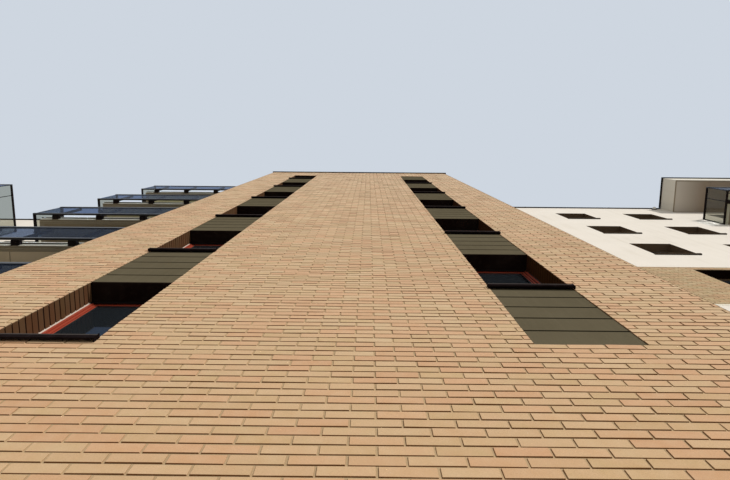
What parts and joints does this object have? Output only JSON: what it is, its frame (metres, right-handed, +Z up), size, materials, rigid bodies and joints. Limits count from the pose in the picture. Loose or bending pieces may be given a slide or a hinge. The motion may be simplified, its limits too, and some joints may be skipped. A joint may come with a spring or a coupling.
{
  "type": "apartment block",
  "caption": "Apartment block with a brick stair tower, window columns with spandrel boards, rendered wings and glass balconies.",
  "frame": {"origin": "centre of the block's box at ground level", "axes": "+Z up; -Y is the street front with the stair tower; +X runs along the block to the right as seen from the street"},
  "size_m": [28.86, 12.066, 22.125],
  "materials": {
    "brick": "buff facing brick with recessed grey-brown mortar",
    "render": "smooth off-white through-coloured render",
    "slab_render": "painted concrete slab edge and soffit",
    "concrete": "plain cast concrete",
    "boards": "matt olive-grey cladding boards",
    "dark_metal": "near-black powder coat",
    "frame_red": "oxide red powder coat",
    "door_paint": "oxide red powder coat",
    "lamp": "opal cover of a round wall light",
    "glass": "clear float glass that mirrors the sky"
  },
  "bodies": {
    "root": {"tower_front_wall": "brick", "tower_left_wall": "brick", "tower_right_wall": "brick", "tower_left_landings": "concrete", "tower_right_landings": "concrete", "tower_roof": "concrete", "tower_coping": "dark_metal", "spandrel_backing": "concrete", "spandrel_boards": "boards", "tower_sills": "dark_metal", "tower_head_trims": "dark_metal", "tower_window_frames": "frame_red", "tower_window_glass": "glass", "left_base_wall": "brick", "left_rendered_wall": "render", "right_base_wall": "brick", "right_lower_wall": "render", "right_brick_band": "brick", "right_upper_wall": "render", "left_end_wall": "render", "right_end_wall": "render", "rear_base_wall": "brick", "rear_wall": "render", "left_floors": "concrete", "right_floors": "concrete", "front_copings": "dark_metal", "end_copings": "dark_metal", "rear_coping": "dark_metal", "wing_window_frames": "dark_metal", "wing_window_glass": "glass", "wing_sills": "dark_metal", "rear_window_frames": "dark_metal", "rear_window_glass": "glass", "rear_sills": "dark_metal", "balcony_slabs": "slab_render", "balcony_front_glass": "glass", "balcony_side_glass": "glass", "balcony_front_rails": "dark_metal", "balcony_side_rails": "dark_metal", "balcony_brackets": "dark_metal", "balcony_door_frames": "dark_metal", "balcony_door_glass": "glass", "roof_canopy": "render", "canopy_coping": "dark_metal", "wall_light": "lamp", "entrance_frame": "dark_metal", "entrance_door": "door_paint"}
  },
  "joints": []
}
